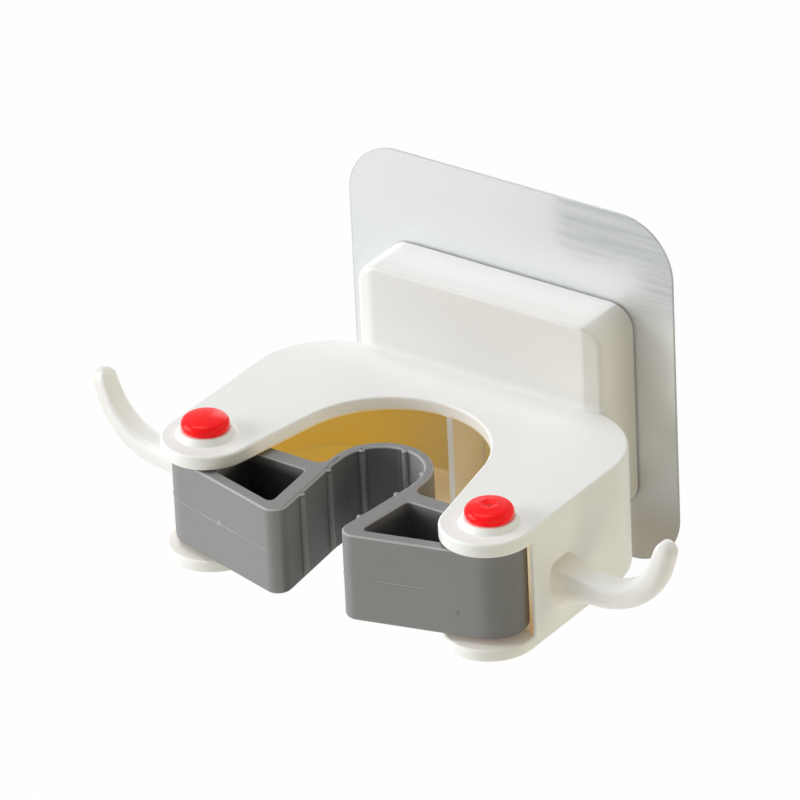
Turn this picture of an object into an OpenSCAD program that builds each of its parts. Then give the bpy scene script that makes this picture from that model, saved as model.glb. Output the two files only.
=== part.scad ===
// Wall rack that grips a mop handle: a stick-on sheet, a white moulded body with
// two side hooks, and a soft grey clamp whose jaws turn on two red pins.
// Millimetres. The origin is the middle of the sheet, on the wall. +Z is up and
// the wall lies on the +Y side, so the mouth of the clamp faces -Y.

/* [Wall sheet] */
// Width of the stick-on sheet
sheet_w = 90; // [80:1:120]
// Height of the stick-on sheet
sheet_h = 90; // [80:1:120]
// Radius of the sheet's corners
sheet_corner_r = 14; // [4:0.5:24]
// Thickness of the sheet's film
sheet_t = 0.5; // [0.3:0.1:1.5]
// Thickness of the glue on the wall side of the film
glue_t = 0.3; // [0.2:0.1:1]
// How far the glue stops short of the film's edge
glue_inset = 0.5; // [0.2:0.1:3]
// Thickness of the pad that bonds the block to the film
bond_t = 0.6; // [0.3:0.1:1.5]
// How far the pad stops short of the block's edge
bond_inset = 0.8; // [0.4:0.1:1.6]

/* [Back block] */
// Width of the block behind the deck
block_w = 68.2; // [50:0.2:76]
// How far the block stands out from its bond pad
block_d = 14; // [12.8:0.1:20]
// Height of the block above the deck
block_rise = 21.8; // [12:0.2:34]
// Radius of the block's corners, seen from the front
block_corner_r = 6; // [3:0.5:10]
// Width of the shallow bevel down each side of the block's front
block_bevel_w = 4.6; // [2:0.2:8]
// Depth of that bevel at the block's sides
block_bevel_d = 1.1; // [0.4:0.1:1.6]
// Radius of the block's upright front edges
block_front_r = 1.5; // [0.6:0.1:2]
// Thickness of the block's walls
block_wall = 2.4; // [1.6:0.1:4]
// Thickness of the upright ribs inside the block
block_rib_t = 1.8; // [1.2:0.1:3]
// Spacing of the upright ribs inside the block
block_rib_pitch = 20; // [12:0.5:24]

/* [Body] */
// Height of the body, over its two plates
body_h = 30.4; // [26:0.2:44]
// Thickness of the top plate
plate_t = 3.5; // [2:0.1:5]
// Thickness of the bottom plate
floor_t = 3; // [2:0.1:5]
// Thickness of the side and back walls between the plates
wall_t = 1.8; // [1.2:0.1:2.6]
// Distance from the film to the back edge of the plates
body_back_reach = 12.6; // [6:0.2:13.4]
// Radius of the plates' back corners
body_corner_r = 20; // [8:0.5:26]
// Distance from the film to the front ends of the side walls
wall_front_reach = 65.3; // [55:0.1:66]
// Radius of the plates' round ends at the pins
horn_r = 11; // [9.5:0.1:13]
// How far a round end's middle lies inwards from its pin
horn_offset = 0.7; // [0:0.1:1.2]
// Radius of the round cut-out in the plates
throat_r = 24; // [20:0.25:25]
// Distance from the film to the middle of that cut-out
throat_reach = 51.7; // [48:0.1:54]
// Thickness of the middle rib between the plates
rib_t = 1.5; // [1:0.1:3]
// Distance from the film to the front edge of the middle rib
rib_reach = 26.4; // [20:0.2:27]

/* [Pins] */
// Spacing of the two pins
pin_spacing = 78.6; // [74:0.2:92]
// Distance from the film to the pins
pin_reach = 67; // [66.5:0.1:74]
// Diameter of a pin
pin_d = 7; // [5:0.1:8]
// Running clearance round a pin, on the radius
pin_clear = 0.05; // [0.02:0.01:0.1]
// Diameter of a pin's cap
cap_d = 11.3; // [9:0.1:12]
// Height of a cap at its rim
cap_rim_h = 2.4; // [0.8:0.1:3.2]
// Rise of a cap's dome above its rim
cap_dome_h = 0.6; // [0.5:0.1:2.4]
// Width of the gate dimple in the right cap
dimple_d = 4.2; // [2:0.1:5]
// Depth of the gate dimple
dimple_depth = 0.45; // [0.2:0.05:0.8]
// Height of the collar under a cap
collar_h = 1.5; // [0.8:0.1:3]
// Width of the collar's ledge beyond the cap, on the radius
collar_ledge = 0.45; // [0.2:0.05:1]
// Spread of the collar's cone from top to foot, on the radius
collar_spread = 0.7; // [0.3:0.1:1.2]
// Length of the barbed end below the bottom plate
barb_h = 2.2; // [1.5:0.1:4]
// How far the barb stands out from the pin, on the radius
barb_lip = 0.6; // [0.3:0.1:1]
// Width of the slit that lets the barbed end spring shut
slit_w = 1.2; // [0.8:0.1:2]
// Length of that slit up the pin
slit_l = 9; // [6:0.5:14]

/* [Clamp] */
// Gap between the clamp and the top plate
clamp_gap = 0.5; // [0.3:0.1:1.5]
// Gap between the clamp and the bottom plate
clamp_foot_gap = 1.2; // [0.3:0.1:2]
// Gap between a jaw's round end and the side wall
barrel_gap = 0.3; // [0.3:0.1:1]
// Inner radius of the round seat for the handle
grip_r = 10.2; // [8:0.1:11.5]
// Distance from the film to the middle of the seat
grip_reach = 54.4; // [52:0.1:56]
// Thickness of the flexible web round the seat
web_t = 2.3; // [1.5:0.1:3]
// Length of the web's straight legs in front of the seat's middle
leg_l = 3.6; // [2:0.1:5]
// Gap between the ends of the legs and the jaws
knuckle_gap = 0.3; // [0.3:0.05:0.5]
// Gap between the two halves of the web
seam_gap = 0.3; // [0.2:0.05:0.5]
// Width of the mouth between the tips of the jaws
mouth_w = 15; // [12:0.2:19]
// Distance from the film to the tips of the jaws
tip_reach = 84; // [82:0.1:90]
// Radius of the tips
tip_r = 3.4; // [1.5:0.1:4]
// Thickness of the walls beside and behind a jaw's pocket
pocket_wall = 4.4; // [3:0.1:5]
// Thickness of the wall in front of a jaw's pocket
pocket_front_wall = 3.1; // [2.4:0.1:4.5]
// Thickness of the floor under a pocket
pocket_floor = 2.4; // [1.5:0.1:5]
// Thickness of the wall between the pocket and the pin
barrel_wall = 4.5; // [3:0.1:6]
// Radius of the pocket's corners
pocket_r = 1.2; // [0.6:0.1:2]

/* [Hooks] */
// Distance from the film to the middle of a hook
hook_reach = 54.2; // [46:0.1:55]
// Depth of a hook's root below the deck's top
hook_drop = 18.1; // [14:0.1:22]
// Radius of a hook where it leaves its root
hook_r = 3.7; // [3:0.1:5]
// Radius of a hook at its tip
hook_tip_r = 2.6; // [2:0.1:3.5]
// Height of a hook's flat inner face above its middle line, as a share of its radius
hook_flat = 0.85; // [0.6:0.05:1]
// Length of a hook's straight root
hook_root_l = 10.4; // [6:0.1:14]
// Radius of a hook's bend, along its middle line
hook_bend_r = 17.8; // [12:0.1:24]
// Angle that a hook turns upwards
hook_bend_angle = 71.5; // [50:0.5:85]
// Length of the straight end of a hook
hook_end_l = 6.3; // [3:0.1:10]
// Extra half width of the flared root
root_flare_y = 1.2; // [0.6:0.1:4]
// Extra half height of the flared root
root_flare_z = 3; // [1:0.1:4]

/* [Hidden] */
// Overlap that keeps cuts clean
eps = 1;
$fn = 96;

// Faces of the stack on the wall, as Y
film_y = -(glue_t + sheet_t);
block_back_y = film_y - bond_t;
block_front_y = block_back_y - block_d;
function reach_y(reach) = film_y - reach;

// Heights: the deck's top lies at the middle of the sheet
body_bottom_z = -body_h;
slot_top_z = -plate_t;
slot_bottom_z = body_bottom_z + floor_t;
clamp_top_z = slot_top_z - clamp_gap;
clamp_bottom_z = slot_bottom_z + clamp_foot_gap;
clamp_h = clamp_top_z - clamp_bottom_z;

// Plan of the body
pin_x = pin_spacing / 2;
pin_y = reach_y(pin_reach);
horn_x = pin_x - horn_offset;
side_x = horn_x + horn_r;
back_y = reach_y(body_back_reach);
slot_x = side_x - wall_t;
slot_back_y = back_y - wall_t;
throat_y = reach_y(throat_reach);
bore_r = pin_d / 2 + pin_clear;

// Plan of the clamp, for the jaw on the +X side
barrel_r = slot_x - pin_x - barrel_gap;
grip_y = reach_y(grip_reach);
knuckle = [grip_r + web_t / 2, pin_y];
knuckle_r = grip_y - pin_y - leg_l;
// Half width of the jaw's knuckle face, wide enough for the leg to swing over it
knuckle_half = web_t / 2 + knuckle_r * sin(18);
tip = [mouth_w / 2, reach_y(tip_reach)];

// Vector helpers
function unit(v) = v / norm(v);
function turn_left(v) = [-v[1], v[0]];
function cross2(a, b) = a[0] * b[1] - a[1] * b[0];
// Meeting point of two lines, each a point and a direction
function meet(p, u, q, v) = p + u * cross2(q - p, v) / cross2(u, v);
// Point where a line from p touches a circle; side is 1 for its left side and -1 for its right
function touch(p, c, r, side) = let (d = norm(c - p), a = asin(r / d), u = unit(c - p))
    p + sqrt(d * d - r * r) * [u[0] * cos(a) - side * u[1] * sin(a), u[1] * cos(a) + side * u[0] * sin(a)];

// Rectangle with rounded corners, centred on the origin
module rounded_rect(w, h, r) {
    square([w - 2 * r, h], center = true);
    square([w, h - 2 * r], center = true);
    for (sx = [-1, 1], sy = [-1, 1]) translate([sx * (w / 2 - r), sy * (h / 2 - r)]) circle(r);
}

// Convex outline, listed anticlockwise, with each corner rounded by the same radius
module rounded_convex(points, r) {
    n = len(points);
    inner = [for (i = [0 : n - 1]) let (p = points[(i + n - 1) % n], c = points[i], q = points[(i + 1) % n],
        u = unit(c - p), v = unit(q - c)) meet(c + r * turn_left(u), u, c + r * turn_left(v), v)];
    polygon([for (i = [0 : n - 1]) let (p = points[(i + n - 1) % n], c = points[i], q = points[(i + 1) % n],
        u = unit(c - p), v = unit(q - c)) each [inner[i] - r * turn_left(u), inner[i] - r * turn_left(v)]]);
    for (c = inner) translate(c) circle(r);
}

// Upright plate seen from the front: draws its children in X and Z between two Y faces
module upright(front_y, rear_y) {
    translate([0, rear_y, 0]) rotate([90, 0, 0]) linear_extrude(rear_y - front_y) children();
}

module glue_layer() {
    color([0.85, 0.86, 0.84, 0.6]) upright(-glue_t, 0)
        rounded_rect(sheet_w - 2 * glue_inset, sheet_h - 2 * glue_inset, sheet_corner_r - glue_inset);
}

module adhesive_sheet() {
    color([0.83, 0.84, 0.84]) upright(film_y, -glue_t) rounded_rect(sheet_w, sheet_h, sheet_corner_r);
}

block_h = block_rise + body_h;
block_mid_z = (block_rise - body_h) / 2;

// Block's outline seen from the front, drawn in by an inset
module block_outline(inset) {
    translate([0, block_mid_z])
        rounded_rect(block_w - 2 * inset, block_h - 2 * inset, block_corner_r - inset);
}

module bond_pad() {
    color([0.35, 0.35, 0.34]) upright(block_back_y, film_y) block_outline(bond_inset);
}

// Plan of a plate: a back bar with round back corners and a round horn at each pin
module plate_plan() {
    reach = [horn_x, pin_y] - [0, throat_y];
    // The straight inner edge touches the cut-out on one side and the horn on the other
    lean = acos((throat_r + horn_r) / norm(reach)) + atan2(reach[1], reach[0]);
    n = [cos(lean), sin(lean)];
    throat_touch = [0, throat_y] + throat_r * n;
    horn_touch = [horn_x, pin_y] - horn_r * n;
    half = [throat_touch, horn_touch, [horn_x, pin_y], [side_x, pin_y], [side_x, back_y - body_corner_r],
        [side_x - body_corner_r, back_y - body_corner_r], [side_x - body_corner_r, back_y]];
    difference() {
        union() {
            polygon(concat(half, [for (i = [len(half) - 1 : -1 : 0]) [-half[i][0], half[i][1]]]));
            for (s = [-1, 1]) {
                translate([s * horn_x, pin_y]) circle(horn_r);
                translate([s * (side_x - body_corner_r), back_y - body_corner_r]) circle(body_corner_r);
            }
        }
        translate([0, throat_y]) circle(throat_r);
    }
}

// Plan of the slot between the plates, open to the front and, in front of the side walls, to the sides
module slot_plan() {
    r = body_corner_r - wall_t;
    front = pin_y - horn_r - eps;
    wall_front = reach_y(wall_front_reach);
    polygon([[-slot_x, front], [slot_x, front], [slot_x, slot_back_y - r], [slot_x - r, slot_back_y - r],
        [slot_x - r, slot_back_y], [r - slot_x, slot_back_y], [r - slot_x, slot_back_y - r],
        [-slot_x, slot_back_y - r]]);
    for (s = [-1, 1]) translate([s * (slot_x - r), slot_back_y - r]) circle(r);
    translate([-side_x - eps, front]) square([2 * (side_x + eps), wall_front - front]);
}

// Plan of the block: a flat front that falls away in a shallow bevel down each side
module block_plan() {
    x = block_w / 2;
    rear = 2 * block_front_r;
    rounded_convex([[-x, rear], [-x, block_bevel_d - block_d], [block_bevel_w - x, -block_d],
        [x - block_bevel_w, -block_d], [x, block_bevel_d - block_d], [x, rear]], block_front_r);
}

// Outside of the block: its outline seen from the front, shared with its plan
module block_solid() {
    intersection() {
        upright(block_front_y, block_back_y) block_outline(0);
        translate([0, block_back_y, body_bottom_z - eps]) linear_extrude(block_h + 2 * eps) block_plan();
    }
}

// Hollow of the block, open at the back, less its upright ribs
module block_hollow() {
    difference() {
        upright(block_front_y + block_wall, block_back_y + eps) block_outline(block_wall);
        for (s = [-1, 1]) translate([s * block_rib_pitch / 2 - block_rib_t / 2, block_front_y, body_bottom_z])
            cube([block_rib_t, block_d, block_h]);
    }
}

collar_top_r = cap_d / 2 + collar_ledge;

module rack_body() {
    color([0.95, 0.95, 0.93]) {
        difference() {
            union() {
                block_solid();
                translate([0, 0, body_bottom_z]) linear_extrude(body_h) plate_plan();
                for (s = [-1, 1]) translate([s * pin_x, pin_y, -eps])
                    cylinder(h = collar_h + eps, r1 = collar_top_r + collar_spread * (1 + eps / collar_h),
                        r2 = collar_top_r);
            }
            translate([0, 0, slot_bottom_z]) linear_extrude(slot_top_z - slot_bottom_z) slot_plan();
            block_hollow();
            for (s = [-1, 1]) translate([s * pin_x, pin_y, body_bottom_z - eps])
                cylinder(h = body_h + collar_h + 2 * eps, r = bore_r);
        }
        translate([-rib_t / 2, reach_y(rib_reach), slot_bottom_z])
            cube([rib_t, slot_back_y - reach_y(rib_reach), slot_top_z - slot_bottom_z]);
    }
}

// A hook's middle line: straight root, round bend, straight end
hook_bend_l = hook_bend_r * hook_bend_angle * PI / 180;
hook_l = hook_root_l + hook_bend_l + hook_end_l;
function hook_angle(s) = hook_bend_angle * min(1, max(0, (s - hook_root_l) / hook_bend_l));
function hook_point(s) = let (a = hook_angle(s), past = max(0, s - hook_root_l - hook_bend_l))
    [min(s, hook_root_l) + hook_bend_r * sin(a) + past * cos(a), hook_bend_r * (1 - cos(a)) + past * sin(a)];
// Half thickness along it: tapers to the tip, where it closes as a half round
function hook_taper(s) = hook_r + (hook_tip_r - hook_r) * max(0, s - hook_root_l) / (hook_l - hook_root_l);
function hook_half(s) = let (r = hook_taper(s), left = hook_l - s)
    left > hook_tip_r ? r : sqrt(max(0, r * r - pow(r * (1 - left / hook_tip_r), 2)));
// Section: round on the outside of the bend, squared off to a flat face on the inside
section_power = 4;
function section_swell(t) = sin(t) > 0 ?
    pow(pow(cos(t), section_power) + pow(sin(t), section_power), -1 / section_power) : 1;
function section_rise(t) = sin(t) * section_swell(t) * (sin(t) > 0 ? hook_flat : 1);
// Share of the root's flare, from 1 on the wall to 0 where the root ends
function flare(s) = pow(max(0, 1 - s / hook_root_l), 2);
hook_sides = 20;
hook_stations = concat([for (k = [0 : 5]) hook_root_l * k / 6],
    [for (k = [0 : 10]) hook_root_l + hook_bend_l * k / 10],
    [for (k = [1 : 3]) hook_l - hook_tip_r - (hook_end_l - hook_tip_r) * (1 - k / 3)],
    [for (a = [20 : 20 : 80]) hook_l - hook_tip_r * (1 - sin(a))]);

// Hook on the +X wall: rings swept along the middle line, closed on the wall and at the tip
module hook() {
    rings = [for (s = hook_stations) let (p = hook_point(s), a = hook_angle(s))
        [for (k = [0 : hook_sides - 1]) let (t = 360 * k / hook_sides,
            dy = (hook_half(s) + root_flare_y * flare(s)) * cos(t) * section_swell(t),
            dn = (hook_half(s) + root_flare_z * flare(s)) * section_rise(t))
            [p[0] - dn * sin(a), dy, p[1] + dn * cos(a)]]];
    count = len(rings);
    tip_p = hook_point(hook_l);
    points = concat([for (ring = rings) each ring], [[0, 0, 0], [tip_p[0], 0, tip_p[1]]]);
    root_i = count * hook_sides;
    skin = [for (i = [0 : count - 2], k = [0 : hook_sides - 1]) let (a = i * hook_sides + k,
        b = i * hook_sides + (k + 1) % hook_sides, c = a + hook_sides, d = b + hook_sides)
        each [[a, b, d], [a, d, c]]];
    ends = [for (k = [0 : hook_sides - 1]) let (j = (k + 1) % hook_sides, last = (count - 1) * hook_sides)
        each [[root_i, j, k], [root_i + 1, last + k, last + j]]];
    translate([side_x, reach_y(hook_reach), -hook_drop]) polyhedron(points, concat(skin, ends));
}

module left_hook() { color([0.95, 0.95, 0.93]) mirror([1, 0, 0]) hook(); }
module right_hook() { color([0.95, 0.95, 0.93]) hook(); }

// Pin: domed cap on the collar, shaft through both plates, slit and barbed lower end
module pin(dimple) {
    r = pin_d / 2;
    cap_r = cap_d / 2;
    dome_r = (cap_r * cap_r + cap_dome_h * cap_dome_h) / (2 * cap_dome_h);
    cap_top = collar_h + cap_rim_h + cap_dome_h;
    translate([0, pin_y, 0]) difference() {
        union() {
            intersection() {
                translate([0, 0, collar_h]) cylinder(h = cap_rim_h + cap_dome_h, r = cap_r);
                translate([0, 0, cap_top - dome_r]) sphere(dome_r);
            }
            translate([0, 0, body_bottom_z]) cylinder(h = collar_h + body_h, r = r);
            translate([0, 0, body_bottom_z - barb_h])
                cylinder(h = barb_h, r1 = r - barb_lip, r2 = r + barb_lip);
        }
        translate([-slit_w / 2, -cap_r, body_bottom_z - barb_h - eps]) cube([slit_w, cap_d, slit_l + eps]);
        if (dimple) translate([0, 0, cap_top - dimple_depth])
            cylinder(h = dimple_depth * 2, r1 = 0, r2 = dimple_d);
    }
}

module left_pin() { color([0.86, 0.09, 0.1]) translate([-pin_x, 0, 0]) pin(false); }
module right_pin() { color([0.86, 0.09, 0.1]) translate([pin_x, 0, 0]) pin(true); }

// Corners of the +X jaw: where its faces meet the knuckle and the barrel
knuckle_rise = sqrt(knuckle_r * knuckle_r - knuckle_half * knuckle_half);
jaw_back = knuckle + [knuckle_half, knuckle_rise];
jaw_seat = [grip_r, knuckle[1] + sqrt(knuckle_r * knuckle_r - pow(grip_r - knuckle[0], 2))];
barrel_front = touch(tip, [pin_x, pin_y], barrel_r, -1);
barrel_back = touch(jaw_back, [pin_x, pin_y], barrel_r, 1);

module jaw_plan() {
    tip_in = unit(jaw_seat - tip);
    tip_out = unit(barrel_front - tip);
    tip_mid = meet(tip + tip_r * turn_left(tip_out), tip_out, tip - tip_r * turn_left(tip_in), tip_in);
    polygon([tip_mid - tip_r * turn_left(tip_out), barrel_front, [pin_x, pin_y], barrel_back, jaw_back,
        jaw_seat, tip_mid + tip_r * turn_left(tip_in), tip_mid]);
    translate(tip_mid) circle(tip_r);
    translate([pin_x, pin_y]) circle(barrel_r);
    intersection() {
        translate(knuckle) circle(knuckle_r);
        polygon([knuckle, knuckle + 2 * (jaw_back - knuckle), knuckle + 2 * (jaw_seat - knuckle)]);
    }
}

module pocket_plan() {
    inner = unit(jaw_seat - tip);
    front = unit(barrel_front - tip);
    back = unit(barrel_back - jaw_back);
    front_p = tip + pocket_front_wall * turn_left(front);
    inner_p = tip - pocket_wall * turn_left(inner);
    back_p = jaw_back - pocket_wall * turn_left(back);
    end_p = [pin_x - bore_r - barrel_wall, pin_y];
    rounded_convex([meet(inner_p, inner, front_p, front), meet(front_p, front, end_p, [0, 1]),
        meet(back_p, back, end_p, [0, 1]), meet(inner_p, inner, back_p, back)], pocket_r);
}

// Jaw on the +X side: a thick-walled box with a deep pocket open at its top, turning on its pin
module jaw() {
    pocket_depth = clamp_h - pocket_floor;
    color([0.42, 0.43, 0.45]) difference() {
        translate([0, 0, clamp_bottom_z]) linear_extrude(clamp_h) jaw_plan();
        translate([pin_x, pin_y, clamp_bottom_z - eps]) cylinder(h = clamp_h + 2 * eps, r = bore_r);
        translate([0, 0, clamp_top_z - pocket_depth]) linear_extrude(pocket_depth + eps) pocket_plan();
    }
}

module left_jaw() { mirror([1, 0, 0]) jaw(); }
module right_jaw() { jaw(); }

// Half of the flexible web on the +X side: a quarter ring and a leg that ends over the knuckle
module web() {
    outer_r = grip_r + web_t;
    color([0.42, 0.43, 0.45]) translate([0, 0, clamp_bottom_z]) linear_extrude(clamp_h) difference() {
        union() {
            intersection() {
                translate([0, grip_y]) circle(outer_r);
                translate([seam_gap / 2, grip_y]) square(outer_r + eps);
            }
            translate([seam_gap / 2, grip_y - leg_l]) square([outer_r - seam_gap / 2, leg_l]);
        }
        translate([0, grip_y]) circle(grip_r);
        translate([-eps, grip_y - leg_l - eps]) square([grip_r + eps, leg_l + eps]);
        translate(knuckle) circle(knuckle_r + knuckle_gap);
    }
}

module left_web() { mirror([1, 0, 0]) web(); }
module right_web() { web(); }

glue_layer();
adhesive_sheet();
bond_pad();
rack_body();
left_hook();
right_hook();
left_pin();
right_pin();
left_jaw();
right_jaw();
left_web();
right_web();
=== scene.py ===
import math

import bmesh
import bpy
from mathutils import Matrix, Vector


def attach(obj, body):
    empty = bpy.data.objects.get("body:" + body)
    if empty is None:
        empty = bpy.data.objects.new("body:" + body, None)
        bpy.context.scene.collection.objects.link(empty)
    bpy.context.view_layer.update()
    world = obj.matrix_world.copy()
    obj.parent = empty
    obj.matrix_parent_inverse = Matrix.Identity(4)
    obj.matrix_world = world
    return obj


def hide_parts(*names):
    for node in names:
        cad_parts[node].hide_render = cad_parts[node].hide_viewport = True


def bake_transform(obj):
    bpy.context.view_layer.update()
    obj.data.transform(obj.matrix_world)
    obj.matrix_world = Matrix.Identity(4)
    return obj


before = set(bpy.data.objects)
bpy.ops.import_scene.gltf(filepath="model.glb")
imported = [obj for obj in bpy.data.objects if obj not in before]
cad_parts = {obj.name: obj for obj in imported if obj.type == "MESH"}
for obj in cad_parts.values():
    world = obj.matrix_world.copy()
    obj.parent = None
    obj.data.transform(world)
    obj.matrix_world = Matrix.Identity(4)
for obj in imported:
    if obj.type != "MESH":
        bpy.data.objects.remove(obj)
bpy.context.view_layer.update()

# Stick-on film: a square of thin silvery plastic with round corners and a faint brushed grain.
# It is stamped out of sheet, so its edge is only just broken, and it lies flat on the wall.
# Sizes and the spans of its tones are in millimetres, as for every piece below.
FILM_SIDE, FILM_CORNER = 90.0, 14.0
FILM_BACK, FILM_FRONT, FILM_EDGE = -0.3, -0.8, 0.18
MM = 0.001


def arc(centre, radius, start, stop, steps):
    """Points on a circle from one angle to another, in degrees, both ends included."""
    turn = [math.radians(start + (stop - start) * k / steps) for k in range(steps + 1)]
    return [(centre[0] + radius * math.cos(t), centre[1] + radius * math.sin(t)) for t in turn]


def round_rect(width, height, corner, steps=12, mid=(0.0, 0.0)):
    """Rectangle with round corners, listed anticlockwise."""
    w, h = width / 2 - corner, height / 2 - corner
    corners = [(w, -h, -90), (w, h, 0), (-w, h, 90), (-w, -h, 180)]
    return [p for x, y, a in corners for p in arc((mid[0] + x, mid[1] + y), corner, a, a + 90, steps)]


def draw_in(outline, depth, kept=()):
    """Outline moved inwards by a depth; the edges that start at a kept point stay where they are."""
    straight_on = 0.004
    count, moved = len(outline), []
    for i, (x, y) in enumerate(outline):
        sides = []
        for a, b in ((i - 1, i), (i, (i + 1) % count)):
            dx, dy = outline[b][0] - outline[a][0], outline[b][1] - outline[a][1]
            size = math.hypot(dx, dy)
            sides.append((-dy / size, dx / size, 0.0 if a % count in kept else depth))
        (ax, ay, da), (bx, by, db) = sides
        cross = ax * by - ay * bx
        if abs(cross) < straight_on:
            moved.append((x + ax * da, y + ay * da))
        else:
            moved.append((x + (da * by - db * ay) / cross, y + (ax * db - bx * da) / cross))
    return moved


def as_piece(name, points, faces):
    """New object from points in millimetres."""
    mesh = bpy.data.meshes.new(name)
    mesh.from_pydata([[c * MM for c in p] for p in points], [], faces)
    work = bmesh.new()
    work.from_mesh(mesh)
    bmesh.ops.remove_doubles(work, verts=work.verts, dist=1e-7)
    bmesh.ops.recalc_face_normals(work, faces=work.faces)
    work.to_mesh(mesh)
    work.free()
    piece = bpy.data.objects.new(name, mesh)
    bpy.context.scene.collection.objects.link(piece)
    return piece


def skin(name, rings, first_tip=None, last_tip=None):
    """Closed skin over rings of equal count; each end is a flat face or a fan to a tip."""
    count = len(rings[0])
    points = [p for ring in rings for p in ring]
    faces = []
    for i in range(len(rings) - 1):
        for k in range(count):
            a, b = i * count + k, i * count + (k + 1) % count
            faces.append((a, b, b + count, a + count))
    for tip, start in ((first_tip, 0), (last_tip, (len(rings) - 1) * count)):
        if tip is None:
            faces.append(tuple(range(start, start + count)))
        else:
            points.append(tip)
            faces += [(start + k, start + (k + 1) % count, len(points) - 1) for k in range(count)]
    return as_piece(name, points, faces)


def rounding(radius, steps):
    """Inset and rise along a rounded edge, from its start on the end face to its end on the side."""
    turn = [math.pi / 2 * k / steps for k in range(steps + 1)]
    return [(radius * (1 - math.sin(t)), radius * (1 - math.cos(t))) for t in turn]


def settle(piece, crease=34.0):
    """Smooth shading that keeps flat faces flat and leaves true corners crisp."""
    piece.data.polygons.foreach_set("use_smooth", [True] * len(piece.data.polygons))
    piece.data.set_sharp_from_angle(angle=math.radians(crease))
    even = piece.modifiers.new("even_shading", "WEIGHTED_NORMAL")
    even.keep_sharp = True
    return piece


class Wire:
    """One socket of a finish. Sums on it add Math nodes, and node() adds any other node."""

    def __init__(self, tree, socket=None):
        self.tree, self.socket = tree, socket

    def node(self, kind, settings=None, inputs=None, out=0):
        made = self.tree.nodes.new(kind)
        for key, value in (settings or {}).items():
            setattr(made, key, value)
        for key, value in (inputs or {}).items():
            if isinstance(value, Wire):
                self.tree.links.new(value.socket, made.inputs[key])
            else:
                made.inputs[key].default_value = value
        return Wire(self.tree, made.outputs[out])

    def maths(self, how, a, b=0.0):
        return self.node("ShaderNodeMath", {"operation": how}, {0: a, 1: b})

    def __add__(self, other):
        return self.maths("ADD", self, other)

    def __radd__(self, other):
        return self.maths("ADD", other, self)

    def __sub__(self, other):
        return self.maths("SUBTRACT", self, other)

    def __rsub__(self, other):
        return self.maths("SUBTRACT", other, self)

    def __mul__(self, other):
        return self.maths("MULTIPLY", self, other)

    def __rmul__(self, other):
        return self.maths("MULTIPLY", other, self)

    def step(self, span, scale=1.0):
        """0 before a span, 1 beyond it, smooth in between."""
        return self.node("ShaderNodeMapRange", {"interpolation_type": "SMOOTHSTEP"},
                         {"Value": self, "From Min": span[0] * scale, "From Max": span[1] * scale})

    def past(self, span):
        """step() for a place in metres and a span in millimetres."""
        return self.step(span, MM)

    def band(self, start, stop, scale=MM):
        """Rises to 1 over the start span and falls to 0 over the stop span."""
        return self.step(start, scale) * (1 - self.step(stop, scale))

    def tint(self, below, above):
        """Mix of two colours, each a colour or a wire, by this value."""
        pick = {0: self, 6: below if isinstance(below, Wire) else (*below, 1.0),
                7: above if isinstance(above, Wire) else (*above, 1.0)}
        return self.node("ShaderNodeMix", {"data_type": "RGBA"}, pick, out=2)


def finish(name):
    """New material with one shader, and a wire to its place on the object in metres."""
    made = bpy.data.materials.new(name)
    made.use_nodes = True
    shader = made.node_tree.nodes["Principled BSDF"]
    place = Wire(made.node_tree).node("ShaderNodeTexCoord", out=3)
    return made, shader, place


def across(place, axis):
    """One coordinate of a place or a direction."""
    return place.node("ShaderNodeSeparateXYZ", None, {0: place}, out="XYZ".index(axis))


def larger(a, b):
    """The larger of a wire and a second value."""
    return a.maths("MAXIMUM", a, b)


def apart(a, b):
    """Distance from two offsets at right angles."""
    return a.maths("SQRT", a * a + b * b)


def grain(place, scale, detail=3.0, pull=(1.0, 1.0, 1.0)):
    """Noise from 0 to 1, pulled along the axes."""
    pulled = place.node("ShaderNodeVectorMath", {"operation": "MULTIPLY"}, {0: place, 1: pull})
    return place.node("ShaderNodeTexNoise", None, {"Vector": pulled, "Scale": scale, "Detail": detail})


def relief(height, strength, depth):
    """Fine bumps for a shader's normal, with a depth in metres."""
    return height.node("ShaderNodeBump", None, {"Strength": strength, "Distance": depth, "Height": height})


def paint(shade, *tones):
    """Tones laid over a shade in turn, each a weight and a colour or wire."""
    for weight, colour in tones:
        shade = weight.tint(shade, colour)
    return shade


def feed(shader, **wires):
    """Join wires to the shader's sockets, named with underscores for spaces."""
    for key, wire in wires.items():
        wire.tree.links.new(wire.socket, shader.inputs[key.replace("_", " ")])


def dress(piece, coat):
    """The piece wears this finish and nothing else."""
    piece.data.materials.clear()
    piece.data.materials.append(coat)


film_outline = round_rect(FILM_SIDE, FILM_SIDE, FILM_CORNER, 20)
film_rows = [(FILM_BACK - rise, inset) for inset, rise in rounding(FILM_EDGE, 3)]
film_rows += [(FILM_FRONT + rise, inset) for inset, rise in reversed(rounding(FILM_EDGE, 3))]
film = settle(skin("adhesive_sheet_film", [[(x, y, z) for x, z in draw_in(film_outline, inset)]
                                           for y, inset in film_rows]))
FILM_PALE, FILM_CLOUD, CLOUD_SCALE = (0.755, 0.775, 0.785), (0.725, 0.75, 0.765), 42.0
# The brushed grain is the film's own; its darker streaks at the upper right and in the right corner are a
# painted reflection.
FILM_STREAK_REFLECTION, STREAK_PULL, STRAND_RANGE = (0.48, 0.51, 0.525), (24.0, 1.0, 820.0), (0.36, 0.66)
WANDER, WANDER_PULL = 16.0, (30.0, 1.0, 60.0)
PATCH_X, PATCH_Z = (18.5, 26.5), (37.0, 46.0)
CORNER_X, CORNER_Z = (36.0, 48.0), (24.0, 34.0)
# Painted light: a lighter band near the film's right edge, where light from the right falls.
FILM_PAINTED_LIGHT, BRIGHT_X, BRIGHT_Z = (0.93, 0.945, 0.95), (35.0, 44.0), ((-10.0, 4.0), (11.0, 23.0))
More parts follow.
